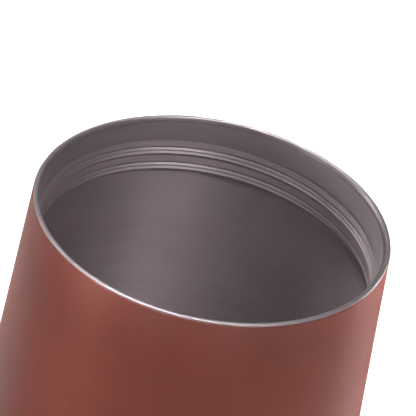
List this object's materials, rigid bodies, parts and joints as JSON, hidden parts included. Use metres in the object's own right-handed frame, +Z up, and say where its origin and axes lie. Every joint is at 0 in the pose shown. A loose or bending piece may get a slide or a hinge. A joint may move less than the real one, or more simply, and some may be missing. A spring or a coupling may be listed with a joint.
{
  "type": "growler",
  "caption": "Wide-mouth double-wall vacuum growler with a threaded neck; its insulated screw lid with a folding handle stands beside it.",
  "frame": {"origin": "centre of the vessel's base pad, on the surface it stands on", "axes": "+Z up along the vessel's axis towards its mouth; the lid stands on the -X side, its handle folded towards -Y"},
  "size_m": [0.2335, 0.1234, 0.288],
  "materials": {
    "steel_liner": "satin, spun lines round the bore",
    "painted_steel": "satin metallic copper-brown powder coat",
    "steel_inner": "plain pressed",
    "solder_glass": "fused bead",
    "copper_foil": "bright foil",
    "getter_grey": "sintered",
    "steel_base": "satin",
    "black_rubber": "matte",
    "lid_plastic": "fine moulded grain",
    "silicone": "smooth",
    "white_foam": "cellular",
    "steel_plate": "spun",
    "steel_hardware": "satin",
    "nylon": "smooth",
    "grip_rubber": "soft matte"
  },
  "bodies": {
    "vessel": {"liner_wall": "steel_liner", "liner_bottom": "steel_liner", "outer_shell": "painted_steel", "shell_bottom": "steel_inner", "vacuum_seal": "solder_glass", "copper_foil": "copper_foil", "getter_tablet": "getter_grey", "getter_clip": "steel_inner", "base_cover": "steel_base", "base_pad": "black_rubber"},
    "lid": {"lid_plug": "lid_plastic", "lid_gasket": "silicone", "lid_foot_disc": "steel_base", "lid_foam": "white_foam", "lid_cap": "lid_plastic", "lid_top_plate": "steel_plate", "plate_screws": "steel_hardware", "handle_pins": "steel_hardware", "pivot_washers": "nylon"},
    "handle": {"bail": "steel_hardware", "bail_grip": "grip_rubber"}
  },
  "joints": [
    {"name": "lid_lift", "type": "slide", "parent": "vessel", "child": "lid", "axis": [0, 0, 1], "range_m": [0, 0.3]},
    {"name": "handle_swing", "type": "hinge", "parent": "lid", "child": "handle", "pos_m": [-0.124, 0, 0.025], "axis": [-1, 0, 0], "range_deg": [0, 180]}
  ]
}
